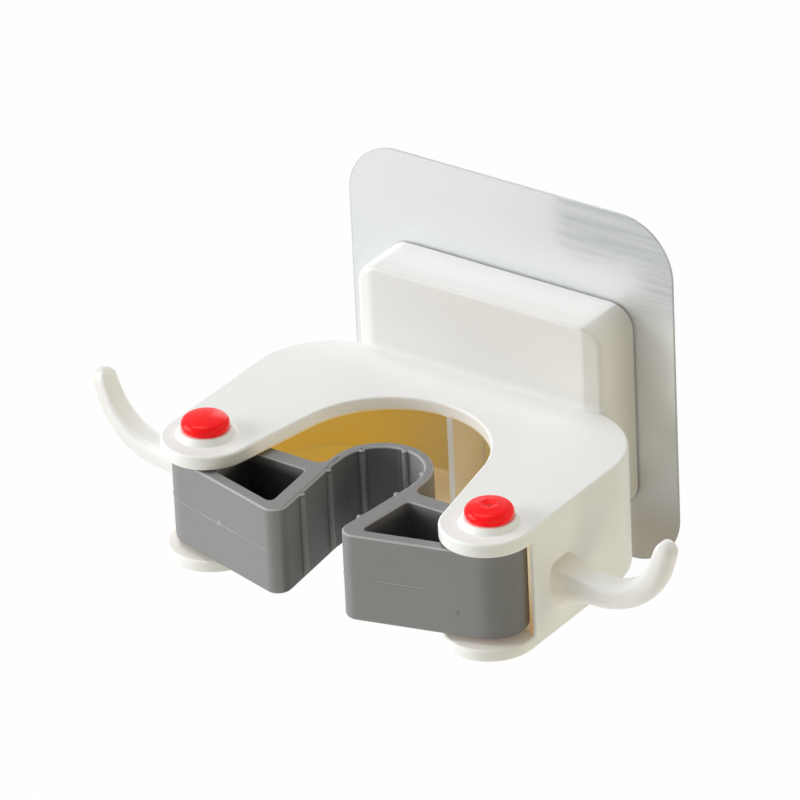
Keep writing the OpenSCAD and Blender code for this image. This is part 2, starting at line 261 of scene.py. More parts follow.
# Painted shade and reflection right of the block, strongest towards the bottom, with a faint slanted part
# higher up.
FILM_PAINTED_SHADE, SHADE_X, SHADE_Z = (0.29, 0.27, 0.225), (22.0, 34.0), (-32.0, -12.0)
SLANT, SLANT_FROM, SLANT_SPAN = 2.6, 37.0, (4.0, 24.0)
# Painted shade and reflection: a warm, darker tone low in the right corner.
FILM_CORNER_SHADE, CORNER_SHADE_Z = (0.24, 0.17, 0.05), (-36.0, -27.0)
# Painted shade: a thin darker line all along the film's edge.
FILM_EDGE_SHADE, EDGE_SHADE_SPAN = (0.36, 0.37, 0.37), (FILM_CORNER - 0.4, FILM_CORNER - 0.1)
film_coat, film_shader, at = finish("silvery_film")
x, z = across(at, "X"), across(at, "Z")
streaks = grain(at, 1.0, 5.0, STREAK_PULL)
strands = streaks.step(STRAND_RANGE)
wander = grain(at, 1.0, 2.0, WANDER_PULL) * (WANDER * MM)
# Where the painted reflection lies, with wandering edges; the grain's bumps and roughness are stronger
# there too.
reflection_patch = (x + wander).past(PATCH_X) * (z + wander).past(PATCH_Z)
brushed_and_reflected = larger(reflection_patch, (x + wander).past(CORNER_X) * (z + wander).past(CORNER_Z))
# The band of painted light; the film is also less metallic there.
painted_light = x.past(BRIGHT_X) * z.band(*BRIGHT_Z)
slant = z + SLANT * (x - SLANT_FROM * MM)
# Where the painted shade and reflection lie; the film is also less metallic there.
painted_shade = x.past(SHADE_X) * (0.06 * (1 - slant.past(SLANT_SPAN)) + 0.78 * (1 - z.past(SHADE_Z)))
# Where the corner's painted shade and reflection lie.
corner_shade = x.past(SHADE_X) * (1 - z.past(CORNER_SHADE_Z))
straight_half = (FILM_SIDE / 2 - FILM_CORNER) * MM
beyond_x, beyond_z = (larger(at.maths("ABSOLUTE", w) - straight_half, 0.0) for w in (x, z))
# The thin band along the edge that takes the painted shade.
cut = apart(beyond_x, beyond_z).past(EDGE_SHADE_SPAN)
# The film's own pale, cloudy tone, with the painted reflection, light and shade laid over it in turn.
sheet_shade = paint((grain(at, CLOUD_SCALE, 2.0) * 0.5).tint(FILM_PALE, FILM_CLOUD),
                    (brushed_and_reflected * (0.35 + 0.65 * strands), FILM_STREAK_REFLECTION), (painted_light * 0.95, FILM_PAINTED_LIGHT),
                    (painted_shade * 0.9, FILM_PAINTED_SHADE), (corner_shade * 0.35, FILM_CORNER_SHADE), (cut * 0.8, FILM_EDGE_SHADE))
feed(film_shader, Base_Color=sheet_shade, Roughness=0.36 + 0.14 * strands * brushed_and_reflected,
     Metallic=0.3 + 0.2 * reflection_patch - 0.25 * painted_shade - 0.24 * painted_light,
     Normal=relief(streaks * (0.25 + 0.75 * brushed_and_reflected), 0.1, 0.00004))
dress(film, film_coat)
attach(film, "root")
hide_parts("adhesive_sheet")

# Glue on the wall side of the film: a clear, tacky coat that stops just short of the edge.
# It is rolled on, so fine dimples cover it, and it shows only from behind.
GLUE_DULL, GLUE_CLEAR = (0.70, 0.71, 0.69), (0.80, 0.81, 0.79)


def pits(place, scale):
    """Small rounded cells, dark in the middle."""
    return place.node("ShaderNodeTexVoronoi", None, {"Vector": place, "Scale": scale})


glue_coat, glue_shader, at = finish("rolled_glue")
dimples = pits(at, 900.0)
feed(glue_shader, Base_Color=grain(at, 60.0).tint(GLUE_DULL, GLUE_CLEAR), Roughness=0.18 + 0.2 * dimples,
     Normal=relief(dimples, 0.3, 0.00005))
dress(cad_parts["glue_layer"], glue_coat)

# Bond pad: a thin sheet of dark double-sided foam between the film and the block; its dark tone also serves
# as painted shade for the shadow line round the block's back.
# It is cut a little smaller than the block, so it shows as a shadow line round its back.
# Dark foam tones, which also stand for the shadow line round the block.
FOAM_AND_SHADOW_DARK, FOAM_AND_SHADOW_GREY = (0.15, 0.15, 0.148), (0.26, 0.26, 0.255)
foam_coat, foam_shader, at = finish("foam_and_shadow_line")
cells = pits(at, 2600.0)
feed(foam_shader, Base_Color=cells.tint(FOAM_AND_SHADOW_DARK, FOAM_AND_SHADOW_GREY), Roughness=0.8 + 0.15 * cells,
     Normal=relief(cells, 0.5, 0.0001))
dress(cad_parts["bond_pad"], foam_coat)

# White body: one injection moulding in satin white plastic. A solid-looking block stands on the
# film; two plates with round horns reach forward from it, joined by a wall round the sides and back.
# A thin rib stands in the middle of the back wall, and a collar under each pin's cap.
SIDES = (("left", -1), ("right", 1))
PIN_X, PIN_Y = 39.3, -67.8
HORN_X, HORN_R = 38.6, 11.0
SIDE_X, BACK_Y, BACK_CORNER = 49.6, -13.4, 20.0
THROAT_Y, THROAT_R = -52.5, 24.0
DECK_TOP, DECK_UNDER, FLOOR_TOP, FLOOR_UNDER = 0.0, -3.5, -27.4, -30.4
DECK_EDGE, DECK_INNER_EDGE = 0.65, 0.5
WALL, WALL_FRONT, WALL_PROUD, WALL_END = 1.8, -66.1, 0.02, 0.5
RIB_T, RIB_FRONT, RIB_SUNK = 1.5, -27.2, 1.0
BLOCK_W, BLOCK_BACK, BLOCK_FRONT, BLOCK_TOP = 68.2, -1.4, -15.4, 21.8
BLOCK_CORNER, BLOCK_SIDE_R, BLOCK_TOP_R, BEVEL_W, BEVEL_D, BEVEL_SOFT = 6.0, 1.8, 0.8, 4.6, 1.1, 9.0
COLLAR_H, COLLAR_FOOT_R, COLLAR_TOP_R, BORE_R = 1.5, 6.8, 6.1, 3.55
COLLAR = [(0, -1.0), (COLLAR_FOOT_R + 0.55, -1.0), (COLLAR_FOOT_R + 0.55, 0.0), (COLLAR_FOOT_R + 0.2, 0.08),
          (COLLAR_FOOT_R, 0.32), (COLLAR_TOP_R, COLLAR_H - 0.2), (COLLAR_TOP_R - 0.07, COLLAR_H - 0.06),
          (COLLAR_TOP_R - 0.22, COLLAR_H), (0, COLLAR_H)]


def slab(name, outline, low, high, low_edge, high_edge, steps=4):
    """Upright plate over an outline, with both edges rounded."""
    foot, rim = (rounding(edge, steps) if edge else [(0.0, 0.0)] for edge in (low_edge, high_edge))
    rows = [(low + rise, inset) for inset, rise in foot]
    rows += [(high - rise, inset) for inset, rise in reversed(rim)]
    return skin(name, [[(x, y, z) for x, y in draw_in(outline, inset)] for z, inset in rows])


def bar(name, low, high):
    """Plain block with square corners."""
    (x0, y0, z0), (x1, y1, z1) = low, high
    ring = [(x0, y0), (x1, y0), (x1, y1), (x0, y1)]
    return skin(name, [[(x, y, z) for x, y in ring] for z in (z0, z1)])


def lathe(name, profile, centre, steps=64):
    """Turned piece about an upright axis; the profile's ends lie on the axis."""
    turn = [2 * math.pi * k / steps for k in range(steps)]
    rings = [[(centre[0] + r * math.cos(t), centre[1] + r * math.sin(t), z) for t in turn]
             for r, z in profile[1:-1]]
    return skin(name, rings, (*centre, profile[0][1]), (*centre, profile[-1][1]))


def bore(centre, low, high):
    """Round cutter for a pin's hole, past both faces by a millimetre."""
    low, high = low - 1, high + 1
    return lathe("bore", [(0, low), (BORE_R, low), (BORE_R, high), (0, high)], centre)


def merge(piece, tool, how):
    """Join a tool to a piece or cut it out, and drop the tool."""
    work = piece.modifiers.new("merge", "BOOLEAN")
    work.object, work.operation, work.solver = tool, how, "EXACT"
    shaped = bpy.data.meshes.new_from_object(piece.evaluated_get(bpy.context.evaluated_depsgraph_get()))
    piece.modifiers.clear()
    shaped.name = piece.name
    piece.data = shaped
    bpy.data.meshes.remove(tool.data)
    return piece


def wall_run(inwards):
    """Path of the wall round the sides and back, drawn in by a distance."""
    x, y, r = SIDE_X - BACK_CORNER, BACK_Y - BACK_CORNER, BACK_CORNER - inwards
    return arc((x, y), r, 0, 90, 24) + arc((-x, y), r, 90, 180, 24)


reach_x, reach_y = HORN_X, PIN_Y - THROAT_Y
lean = math.degrees(math.acos((THROAT_R + HORN_R) / math.hypot(reach_x, reach_y))
                    + math.atan2(reach_y, reach_x))
plate_outline = (wall_run(0.0)
                 + arc((-HORN_X, PIN_Y), HORN_R, 180, 360 - lean, 40)
                 + arc((0.0, THROAT_Y), THROAT_R, 180 - lean, lean, 72)
                 + arc((HORN_X, PIN_Y), HORN_R, 180 + lean, 360, 40))
body = slab("rack_body_shell", plate_outline, DECK_UNDER, DECK_TOP, DECK_INNER_EDGE, DECK_EDGE, 6)
merge(body, slab("floor", plate_outline, FLOOR_UNDER, FLOOR_TOP, DECK_EDGE, DECK_INNER_EDGE, 6), "UNION")
outer_end, inner_end = SIDE_X + WALL_PROUD, SIDE_X - WALL
end_y = WALL_FRONT + WALL_END
wall_outline = (arc((outer_end - WALL_END, end_y), WALL_END, -90, 0, 4) + wall_run(-WALL_PROUD)
                + arc((WALL_END - outer_end, end_y), WALL_END, 180, 270, 4)
                + arc((-inner_end - WALL_END, end_y), WALL_END, 270, 360, 4)
                + wall_run(WALL)[::-1]
                + arc((inner_end + WALL_END, end_y), WALL_END, 180, 270, 4))
merge(body, slab("wall", wall_outline, FLOOR_UNDER + DECK_EDGE, DECK_TOP - DECK_EDGE, 0, 0), "UNION")
merge(body, bar("rib", (-RIB_T / 2, RIB_FRONT, FLOOR_TOP - RIB_SUNK),
                (RIB_T / 2, BACK_Y - RIB_SUNK, DECK_UNDER + RIB_SUNK)), "UNION")
block_mid, block_h = (BLOCK_TOP + FLOOR_UNDER) / 2, BLOCK_TOP - FLOOR_UNDER
bevel_lean = math.atan2(BEVEL_D, BEVEL_W)
round_end = BEVEL_D + BLOCK_SIDE_R * math.tan((math.pi / 2 - bevel_lean) / 2)
side_turns = [bevel_lean + (math.pi / 2 - bevel_lean) * k / 10 for k in range(11)]
side_rows = [(round_end - BLOCK_SIDE_R * math.cos(a), BLOCK_SIDE_R * (1 - math.sin(a))) for a in side_turns]
soft_run = BEVEL_SOFT * math.tan(bevel_lean / 2)
soft_turns = [bevel_lean * k / 8 for k in range(9)]
soft_rows = [(BEVEL_SOFT * (1 - math.cos(a)), BEVEL_W + soft_run - BEVEL_SOFT * math.sin(a))
             for a in soft_turns]
soft_end, bevel_end = soft_rows[-1][0], side_rows[0][0]
bevel_rows = [soft_end + (bevel_end - soft_end) * k / 6 for k in range(1, 6)]
bevel_rows = [(depth, BEVEL_W * (1 - depth / BEVEL_D)) for depth in bevel_rows]
block_rings = []
for depth, side_in in reversed(soft_rows + bevel_rows + side_rows + [(BLOCK_BACK - BLOCK_FRONT, 0.0)]):
    top_in = BLOCK_TOP_R - math.sqrt(max(0.0, BLOCK_TOP_R ** 2 - max(0.0, BLOCK_TOP_R - depth) ** 2))
    ring = round_rect(BLOCK_W - 2 * side_in, block_h - 2 * top_in, BLOCK_CORNER - side_in, 10,
                      (0, block_mid))
    block_rings.append([(x, BLOCK_FRONT + depth, z) for x, z in ring])
merge(body, skin("block", block_rings), "UNION")
for _, side in SIDES:
    merge(body, lathe("collar", COLLAR, (side * PIN_X, PIN_Y)), "UNION")
    merge(body, bore((side * PIN_X, PIN_Y), FLOOR_UNDER, COLLAR_H), "DIFFERENCE")
settle(body)
WHITE, WHITE_SHADE, DARK = (0.90, 0.90, 0.88), (0.87, 0.87, 0.85), (0.0, 0.0, 0.0)
LEFT_TO_RIGHT = (-1.0, 1.0)


def white_plastic(name):
    """Satin white moulding: its finish, shader and place, and a shade to build on."""
    coat, shader, at = finish(name)
    flow = grain(at, 26.0, 2.0)
    feed(shader, Roughness=0.36 + 0.1 * flow, Normal=relief(grain(at, 2400.0, 2.0), 0.06, 0.00002))
    return coat, shader, at, flow.tint(WHITE_SHADE, WHITE)


def facing(place, axis):
    """How far a face looks along an axis, from -1 to 1."""
    return across(place.node("ShaderNodeNewGeometry", out=1), axis)


body_coat, body_shader, at, shade = white_plastic("satin_white_body")
x, y, z = (across(at, axis) for axis in "XYZ")
off_middle = at.maths("ABSOLUTE", x)
# Painted light: inside the hollow between the plates the white is tinted warm ochre, for light bounced
# round and through the plastic; the moulding itself is white all over.
BOUNCE_LIGHT_LEFT, BOUNCE_LIGHT_RIGHT, BOUNCE_LIGHT_SPAN = (0.84, 0.63, 0.22), (0.78, 0.65, 0.41), (-14.0, 18.0)
BETWEEN_Z = ((FLOOR_TOP - 1.0, FLOOR_TOP - 0.3), (DECK_UNDER + 0.1, DECK_UNDER + 1.1))
INNER_CORNER, INNER_FRONT, RIB_FACE = (18.4, 19.0), (-66.5, -64.0), (1.1, 1.3)
FLOOR_SKIN = (FLOOR_TOP + 0.1, FLOOR_TOP + 1.2)
past_x = larger(off_middle - (SIDE_X - BACK_CORNER) * MM, 0.0)
past_y = larger(y - (BACK_Y - BACK_CORNER) * MM, 0.0)
# The hollow that takes the painted warm light: between the plates, behind the walls' front ends and off the
# rib.
inside = (z.band(*BETWEEN_Z) * (1 - apart(past_x, past_y).past(INNER_CORNER)) * y.past(INNER_FRONT)
          * off_middle.past(RIB_FACE))
on_floor = 1 - z.past(FLOOR_SKIN)
# The painted warm light is a deep ochre at the left and high up, and paler to the right, low down and on
# the floor.
bounce_light = larger((x - z * 0.5).past(BOUNCE_LIGHT_SPAN), on_floor).tint(BOUNCE_LIGHT_LEFT, BOUNCE_LIGHT_RIGHT)
# Painted light: the side walls' front ends are tinted gold low down and cream higher up, as if lit through
# the plastic from the hollow.
END_LIGHT_LOW, END_LIGHT_HIGH, END_RISE = (0.80, 0.50, 0.22), (0.93, 0.82, 0.64), (-27.0, -9.0)
END_X, END_Y = ((47.4, 47.8), (48.4, 49.3)), ((-66.3, -66.2), (-65.7, -65.3))
END_Z = ((-27.5, -27.3), (-3.7, -3.4))
wall_end = off_middle.band(*END_X) * y.band(*END_Y) * z.band(*END_Z)
up_the_end = z.past(END_RISE)
DECK_SKIN = (DECK_TOP - 0.8, DECK_TOP - 0.3)
# Painted light: the deck's top is a touch lighter towards the right, in front of the block.
DECK_RIGHT_LIGHT, DECK_RIGHT_X, DECK_RIGHT_Y = (0.945, 0.955, 0.935), (12.0, 32.0), (-32.0, -18.0)
# Painted light round the caps: a cool tint takes out the red light the caps bounce onto the deck, and round
# the right cap the deck is painted lighter as well.
LIGHT_BY_LEFT_CAP, LIGHT_BY_RIGHT_CAP, CAP_REACH = (0.868, 0.90, 0.876), (0.935, 0.975, 0.95), (9.0, 17.0)
on_deck = z.past(DECK_SKIN)
deck_right_light = on_deck * x.past(DECK_RIGHT_X) * (1 - y.past(DECK_RIGHT_Y))
light_by_cap = on_deck * (1 - apart(off_middle - PIN_X * MM, y - PIN_Y * MM).past(CAP_REACH))
# Painted shade on the block's front: its flat panel is darker, and so is the rounded top front edge, which
# would otherwise catch a highlight line.
PANEL_PAINTED_SHADE, PANEL_TURN = (0.74, 0.73, 0.70), (0.955, 0.998)
ROLL_PAINTED_SHADE, ROLL_Z, ROLL_TURN = (0.72, 0.715, 0.695), (20.6, 21.0), ((0.10, 0.45), (0.93, 0.97))
# Painted shade: the block's right side is darker and warmer, most towards the film.
FLANK_PAINTED_SHADE, FLANK_X, FLANK_RISE = (0.66, 0.64, 0.585), (29.4, 29.8), (-15.0, -2.0)
BLOCK_FOOT, FLANK_ABOVE, FLANK_BEHIND = (0.4, 3.0), (-16.0, -15.6), (-13.9, -13.5)
facing_front = 0.0 - facing(at, "Y")
above = z.past(BLOCK_FOOT)
panel = above * facing_front.step(PANEL_TURN)
roll = z.past(ROLL_Z) * facing_front.band(*ROLL_TURN, scale=1.0)
flank = x.past(FLANK_X) * larger(above * y.past(FLANK_ABOVE), y.past(FLANK_BEHIND))
# The white takes its painted warm light, painted light and painted shade in turn.
shade = paint(shade, (inside, bounce_light), (wall_end, up_the_end.tint(END_LIGHT_LOW, END_LIGHT_HIGH)),
              (deck_right_light, DECK_RIGHT_LIGHT), (light_by_cap, x.past(LEFT_TO_RIGHT).tint(LIGHT_BY_LEFT_CAP, LIGHT_BY_RIGHT_CAP)),
              (roll * 0.85, ROLL_PAINTED_SHADE), (panel * 0.58, PANEL_PAINTED_SHADE),
              (flank * (0.5 + 0.5 * y.past(FLANK_RISE)), FLANK_PAINTED_SHADE))
# Painted glow: faint warm light given off by the white plastic itself, in the hollow and on its floor, on
# the walls' front ends, along the throat's rim and on the floor's top under the jaws.
GLOW_LEFT, GLOW_MID, GLOW_RIGHT = (0.19, 0.138, 0.026), (0.10, 0.082, 0.032), (0.25, 0.195, 0.105)
GLOW_LEFT_X, GLOW_RIGHT_X = (-36.0, -4.0), (2.0, 12.0)
GLOW_FLOOR, GLOW_FLOOR_X = (0.21, 0.185, 0.135), (-30.0, -12.0)
GLOW_END_LOW, GLOW_END_HIGH = (0.20, 0.11, 0.03), (0.42, 0.33, 0.21)
GLOW_LIP_LEFT, GLOW_LIP_RIGHT, LIP_X = (0.24, 0.215, 0.165), (0.10, 0.08, 0.055), (-22.0, 4.0)
LIP_Z, LIP_DEPTH = ((DECK_UNDER - 0.1, DECK_UNDER + 0.2), (-0.6, -0.2)), (0.2, 0.7)
GLOW_LEDGE, LEDGE_Z, LEDGE_Y = (0.15, 0.13, 0.10), ((-27.7, -27.5), (-27.2, -26.8)), (-66.8, -64.0)
tilt = math.radians(lean)
lip_back = (THROAT_R * math.cos(tilt), THROAT_Y + THROAT_R * math.sin(tilt))
lip_front = (HORN_X - HORN_R * math.cos(tilt), PIN_Y - HORN_R * math.sin(tilt))
lip_slope = (lip_front[0] - lip_back[0]) / (lip_back[1] - lip_front[1])
from_throat = apart(x, y - THROAT_Y * MM) - THROAT_R * MM
from_lip = off_middle - lip_back[0] * MM + (y - lip_back[1] * MM) * lip_slope
on_arc = y.past((lip_back[1] - 1.0, lip_back[1]))
on_straight = y.past((lip_front[1], lip_front[1] + 6.0)) * (1 - on_arc)
lip = z.band(*LIP_Z) * (on_arc * (1 - from_throat.past(LIP_DEPTH))
                        + on_straight * (1 - from_lip.past(LIP_DEPTH)))
ledge = z.band(*LEDGE_Z) * (1 - y.past(LEDGE_Y))
# The painted glow, by place.
through = x.past(GLOW_LEFT_X).tint(GLOW_LEFT, x.past(GLOW_RIGHT_X).tint(GLOW_MID, GLOW_RIGHT))
through = inside.tint(DARK, (on_floor * x.past(GLOW_FLOOR_X)).tint(through, GLOW_FLOOR))
through = paint(through, (wall_end, up_the_end.tint(GLOW_END_LOW, GLOW_END_HIGH)),
                (lip, x.past(LIP_X).tint(GLOW_LIP_LEFT, GLOW_LIP_RIGHT)), (ledge, GLOW_LEDGE))
feed(body_shader, Base_Color=shade, Emission_Color=through)
body_shader.inputs["Emission Strength"].default_value = 0.8
dress(body, body_coat)
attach(body, "root")
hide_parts("rack_body")

# Side hooks: fingers of the same white plastic, moulded with the body. Each leaves the wall from
# a flared root, bends upwards with a flat face inside and a round back, and tapers to a round tip.
HOOK_Y, HOOK_Z = -55.0, -18.1
HOOK_R, HOOK_TIP_R, HOOK_FLAT, SECTION_POWER = 3.68, 2.58, 0.85, 4
HOOK_ROOT, HOOK_BEND_R, HOOK_TURN, HOOK_END = 10.4, 17.8, 71.5, 6.3
FLARE_Y, FLARE_Z, HOOK_SUNK = 1.2, 3.0, 0.3
hook_bend = HOOK_BEND_R * math.radians(HOOK_TURN)
hook_length = HOOK_ROOT + hook_bend + HOOK_END


def hook_ring(run, side, steps=48):
    """Ring of a hook at a run along its middle line, and the ring's centre."""
    angle = math.radians(HOOK_TURN) * min(1.0, max(0.0, (run - HOOK_ROOT) / hook_bend))
    past = max(0.0, run - HOOK_ROOT - hook_bend)
    x = min(run, HOOK_ROOT) + HOOK_BEND_R * math.sin(angle) + past * math.cos(angle)
    z = HOOK_BEND_R * (1 - math.cos(angle)) + past * math.sin(angle)
    half = HOOK_R + (HOOK_TIP_R - HOOK_R) * max(0.0, run - HOOK_ROOT) / (hook_length - HOOK_ROOT)
    left = hook_length - run
    if left < HOOK_TIP_R:
        half *= math.sqrt(max(0.0, 1 - (1 - left / HOOK_TIP_R) ** 2))
    flare = max(0.0, 1 - max(0.0, run) / HOOK_ROOT) ** 2
    ring = []
    for k in range(steps):
        t = 2 * math.pi * k / steps
        sideways, upwards = math.cos(t), math.sin(t)
        if upwards > 0:
            swell = (sideways ** SECTION_POWER + upwards ** SECTION_POWER) ** (-1 / SECTION_POWER)
            sideways, upwards = sideways * swell, upwards * swell * HOOK_FLAT
        out, up = (half + FLARE_Y * flare) * sideways, (half + FLARE_Z * flare) * upwards
        ring.append((side * (SIDE_X + x - up * math.sin(angle)), HOOK_Y + out,
                     HOOK_Z + z + up * math.cos(angle)))
    return ring, (side * (SIDE_X + x), HOOK_Y, HOOK_Z + z)


# Painted shade and glow at each hook's root: a darker, warmer tone with a faint warm light.
ROOT_PAINTED_SHADE, ROOT_PAINTED_GLOW = (0.89, 0.845, 0.75), (0.018, 0.014, 0.008)
# On the left hook only: a painted glow lightens the inner face, and painted shade darkens the outer face so
# its edge stands off the white behind.
INNER_PAINTED_GLOW, INNER_TURN = (0.10, 0.088, 0.05), (0.15, 0.6)
OUTER_PAINTED_SHADE, OUTER_TURN = (0.74, 0.72, 0.66), (-0.05, 0.35)
hook_coat, hook_shader, at, shade = white_plastic("satin_white_hooks")
x = across(at, "X")
root = 1 - at.maths("ABSOLUTE", x).past((SIDE_X, SIDE_X + HOOK_ROOT))
on_left = 1 - x.past(LEFT_TO_RIGHT)
facing_right = facing(at, "X")
inner_face = on_left * facing_right.step(INNER_TURN)
outer_face = on_left * (0.0 - facing_right).step(OUTER_TURN)
feed(hook_shader, Base_Color=paint(shade, (root, ROOT_PAINTED_SHADE), (outer_face, OUTER_PAINTED_SHADE)),
     Emission_Color=inner_face.tint(root.tint(DARK, ROOT_PAINTED_GLOW), INNER_PAINTED_GLOW))
hook_shader.inputs["Emission Strength"].default_value = 1.0
hook_runs = [-HOOK_SUNK] + [HOOK_ROOT * k / 14 for k in range(15)]
hook_runs += [HOOK_ROOT + (hook_length - HOOK_TIP_R - HOOK_ROOT) * k / 30 for k in range(1, 31)]
hook_runs += [hook_length - HOOK_TIP_R * (1 - math.sin(math.radians(a))) for a in range(12, 85, 12)]
for name, side in SIDES:
    hook = settle(skin(name + "_hook_finger", [hook_ring(run, side)[0] for run in hook_runs],
                       last_tip=hook_ring(hook_length, side)[1]), 60)
    dress(hook, hook_coat)
    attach(hook, "root")
    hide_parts(name + "_hook")

# Pins: glossy red plastic, each in one piece. The domed cap sits on the collar with its side tucked
# in below, the shaft runs through both plates and a jaw, and a split, barbed end snaps through the
# floor. The right cap has a dimple where the plastic was fed into the mould.
PIN_R, CAP_R, CAP_RIM, CAP_DOME, CAP_EDGE, CAP_TUCK = 3.5, 5.65, 2.4, 0.8, 1.5, 1.7
BARB_LIP, BARB_H, BARB_RIM, SLIT_W, SLIT_L = 0.6, 2.2, 0.3, 1.2, 9.0
DIMPLE = [(0.0, -0.34), (0.38, -0.36), (0.56, -0.47), (1.0, -0.42), (1.56, -0.17), (2.0, -0.05),
          (2.44, -0.11)]
DIMPLE_R = 2.8
cap_top = COLLAR_H + CAP_RIM + CAP_DOME
dome_r = (CAP_R ** 2 + CAP_DOME ** 2) / (2 * CAP_DOME)
shoulder = math.asin((CAP_R - CAP_EDGE) / (dome_r - CAP_EDGE))
shoulder_z = cap_top - dome_r + (dome_r - CAP_EDGE) * math.cos(shoulder)
tuck = math.asin((shoulder_z - COLLAR_H) / CAP_TUCK)


def pin_profile(dimpled):
    """Half outline of a pin from the top of its cap to its barbed end."""
    dome = [(dome_r * math.sin(a), cap_top - dome_r + dome_r * math.cos(a))
            for a in [shoulder * k / 14 for k in range(14)]]
    if dimpled:
        dome = [(r, cap_top + z) for r, z in DIMPLE] + [(r, z) for r, z in dome if r > DIMPLE_R]
    turns = [shoulder + (math.pi / 2 - shoulder) * k / 8 for k in range(9)]
    edge = [(CAP_R - CAP_EDGE * (1 - math.sin(a)), shoulder_z + CAP_EDGE * math.cos(a)) for a in turns]
    under = [(CAP_R - CAP_TUCK * (1 - math.cos(a)), shoulder_z - CAP_TUCK * math.sin(a))
             for a in [tuck * k / 6 for k in range(1, 7)]]
    shaft = [(PIN_R, COLLAR_H), (PIN_R, FLOOR_UNDER), (PIN_R + BARB_LIP, FLOOR_UNDER),
             (PIN_R + BARB_LIP, FLOOR_UNDER - BARB_RIM), (PIN_R - BARB_LIP, FLOOR_UNDER - BARB_H),
             (0, FLOOR_UNDER - BARB_H)]
    return dome + edge + under + shaft


RED, RED_PALE = (0.95, 0.006, 0.009), (0.99, 0.010, 0.013)
# Painted shade: the middle of the right cap's dimple is darker.
RED_PIT_PAINTED_SHADE, PIT_SPAN = (0.40, 0.002, 0.004), (0.3, 1.0)
# Painted glow: both caps give off a faint red light, stronger on the right cap.
RED_PAINTED_GLOW_LEFT, RED_PAINTED_GLOW_RIGHT = (0.60, 0.0, 0.0), (1.0, 0.003, 0.003)
red_coat, red_shader, at = finish("glossy_red")
swirl = grain(at, 130.0, 2.0)
x, y = across(at, "X"), across(at, "Y")
in_pit = 1 - apart(x - PIN_X * MM, y - PIN_Y * MM).past(PIT_SPAN)
feed(red_shader, Base_Color=paint(swirl.tint(RED, RED_PALE), (in_pit * 0.75, RED_PIT_PAINTED_SHADE)),
     Emission_Color=x.past(LEFT_TO_RIGHT).tint(RED_PAINTED_GLOW_LEFT, RED_PAINTED_GLOW_RIGHT), Roughness=0.16 + 0.1 * swirl)
red_shader.inputs["Emission Strength"].default_value = 0.18
red_shader.inputs["Specular IOR Level"].default_value = 0.14
pin_foot = FLOOR_UNDER - BARB_H
for name, side in SIDES:
    pin = lathe(name + "_pin_cap", pin_profile(name == "right"), (side * PIN_X, PIN_Y), 72)
    merge(pin, bar("slit", (side * PIN_X - SLIT_W / 2, PIN_Y - CAP_R, pin_foot - 1),
                   (side * PIN_X + SLIT_W / 2, PIN_Y + CAP_R, pin_foot + SLIT_L)), "DIFFERENCE")
    settle(pin)
    dress(pin, red_coat)
    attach(pin, "root")
    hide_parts(name + "_pin")

# Clamp: one soft grey rubber moulding, in two halves that meet at the back of the seat. Each is a
# thick-walled jaw with a deep open pocket, and a thin leg and web round the handle; its grip ribs sit
# where its own mould put them. A tongue on the left half bridges the joint when the jaws turn.
CLAMP_TOP, CLAMP_FOOT = -4.0, -26.2
GRIP_Y, GRIP_R, WEB_T = -55.2, 10.2, 2.3
SEAT_END, JAW_BACK_X, JAW_BACK_Y, LEG_FILLET = -58.9, 15.3, -59.7, 2.4
TIP, TIP_R, BARREL_R = (7.5, -84.6), 3.4, 8.2
RIB_R, RIB_FOOT, SEAT_RIB = 0.8, 1.2, {"left": 32.0, "right": 21.0}
FACE_RIBS = {"left": (-61.1, -73.3), "right": (-62.2, -74.8)}
POCKET_DEPTH, POCKET_WALL, POCKET_FRONT, BARREL_WALL, POCKET_R = 19.8, 4.4, 3.1, 4.5, 1.2
POCKET_FOOT_R, POCKET_RIM_R = 0.8, 0.45
RIM_EDGE, FOOT_EDGE, SEAM_RIDGE, SEAM_HALF = 0.65, 0.9, 0.13, 0.22
GATE = {"left": (28.1, -14.6), "right": (36.0, -20.0)}
GATE_RINGS = ((0.55, -0.3), (0.55, 0.02), (0.4, 0.09), (0.2, 0.12))
TONGUE = ((-1.5, GRIP_Y + GRIP_R + 0.15, CLAMP_FOOT + 1.1), (2.6, GRIP_Y + GRIP_R + 1.9, CLAMP_TOP - 0.9))
clamp_mid = (CLAMP_TOP + CLAMP_FOOT) / 2


def unit(a, b):
    """Direction from one point to another."""
    size = math.hypot(b[0] - a[0], b[1] - a[1])
    return (b[0] - a[0]) / size, (b[1] - a[1]) / size


def straight(a, b, gap):
    """Points from a to b, both ends left out, about a gap apart."""
    count = max(1, round(math.hypot(b[0] - a[0], b[1] - a[1]) / gap))
    return [(a[0] + (b[0] - a[0]) * k / count, a[1] + (b[1] - a[1]) * k / count) for k in range(1, count)]


def touch(point, centre, radius, side):
    """Where a line from a point touches a circle, on its left (1) or right (-1)."""
    d = math.hypot(centre[0] - point[0], centre[1] - point[1])
    a, (ux, uy) = math.asin(radius / d), unit(point, centre)
    run = math.sqrt(d * d - radius * radius)
    return (point[0] + run * (ux * math.cos(a) - side * uy * math.sin(a)),
            point[1] + run * (uy * math.cos(a) + side * ux * math.sin(a)))


def grip_rib(centre, along, height, half_turn=(0.0, 180.0), steps=10):
    """Half-round rib on a face that runs along a direction, standing out to its right."""
    out = (along[1], -along[0])
    rib = []
    for k in range(steps + 1):
        t = math.radians(half_turn[0] + (half_turn[1] - half_turn[0]) * k / steps)
        run, rise = -RIB_R * math.cos(t), height * math.sin(t)
        rib.append((centre[0] + along[0] * run + out[0] * rise, centre[1] + along[1] * run + out[1] * rise))
    return rib


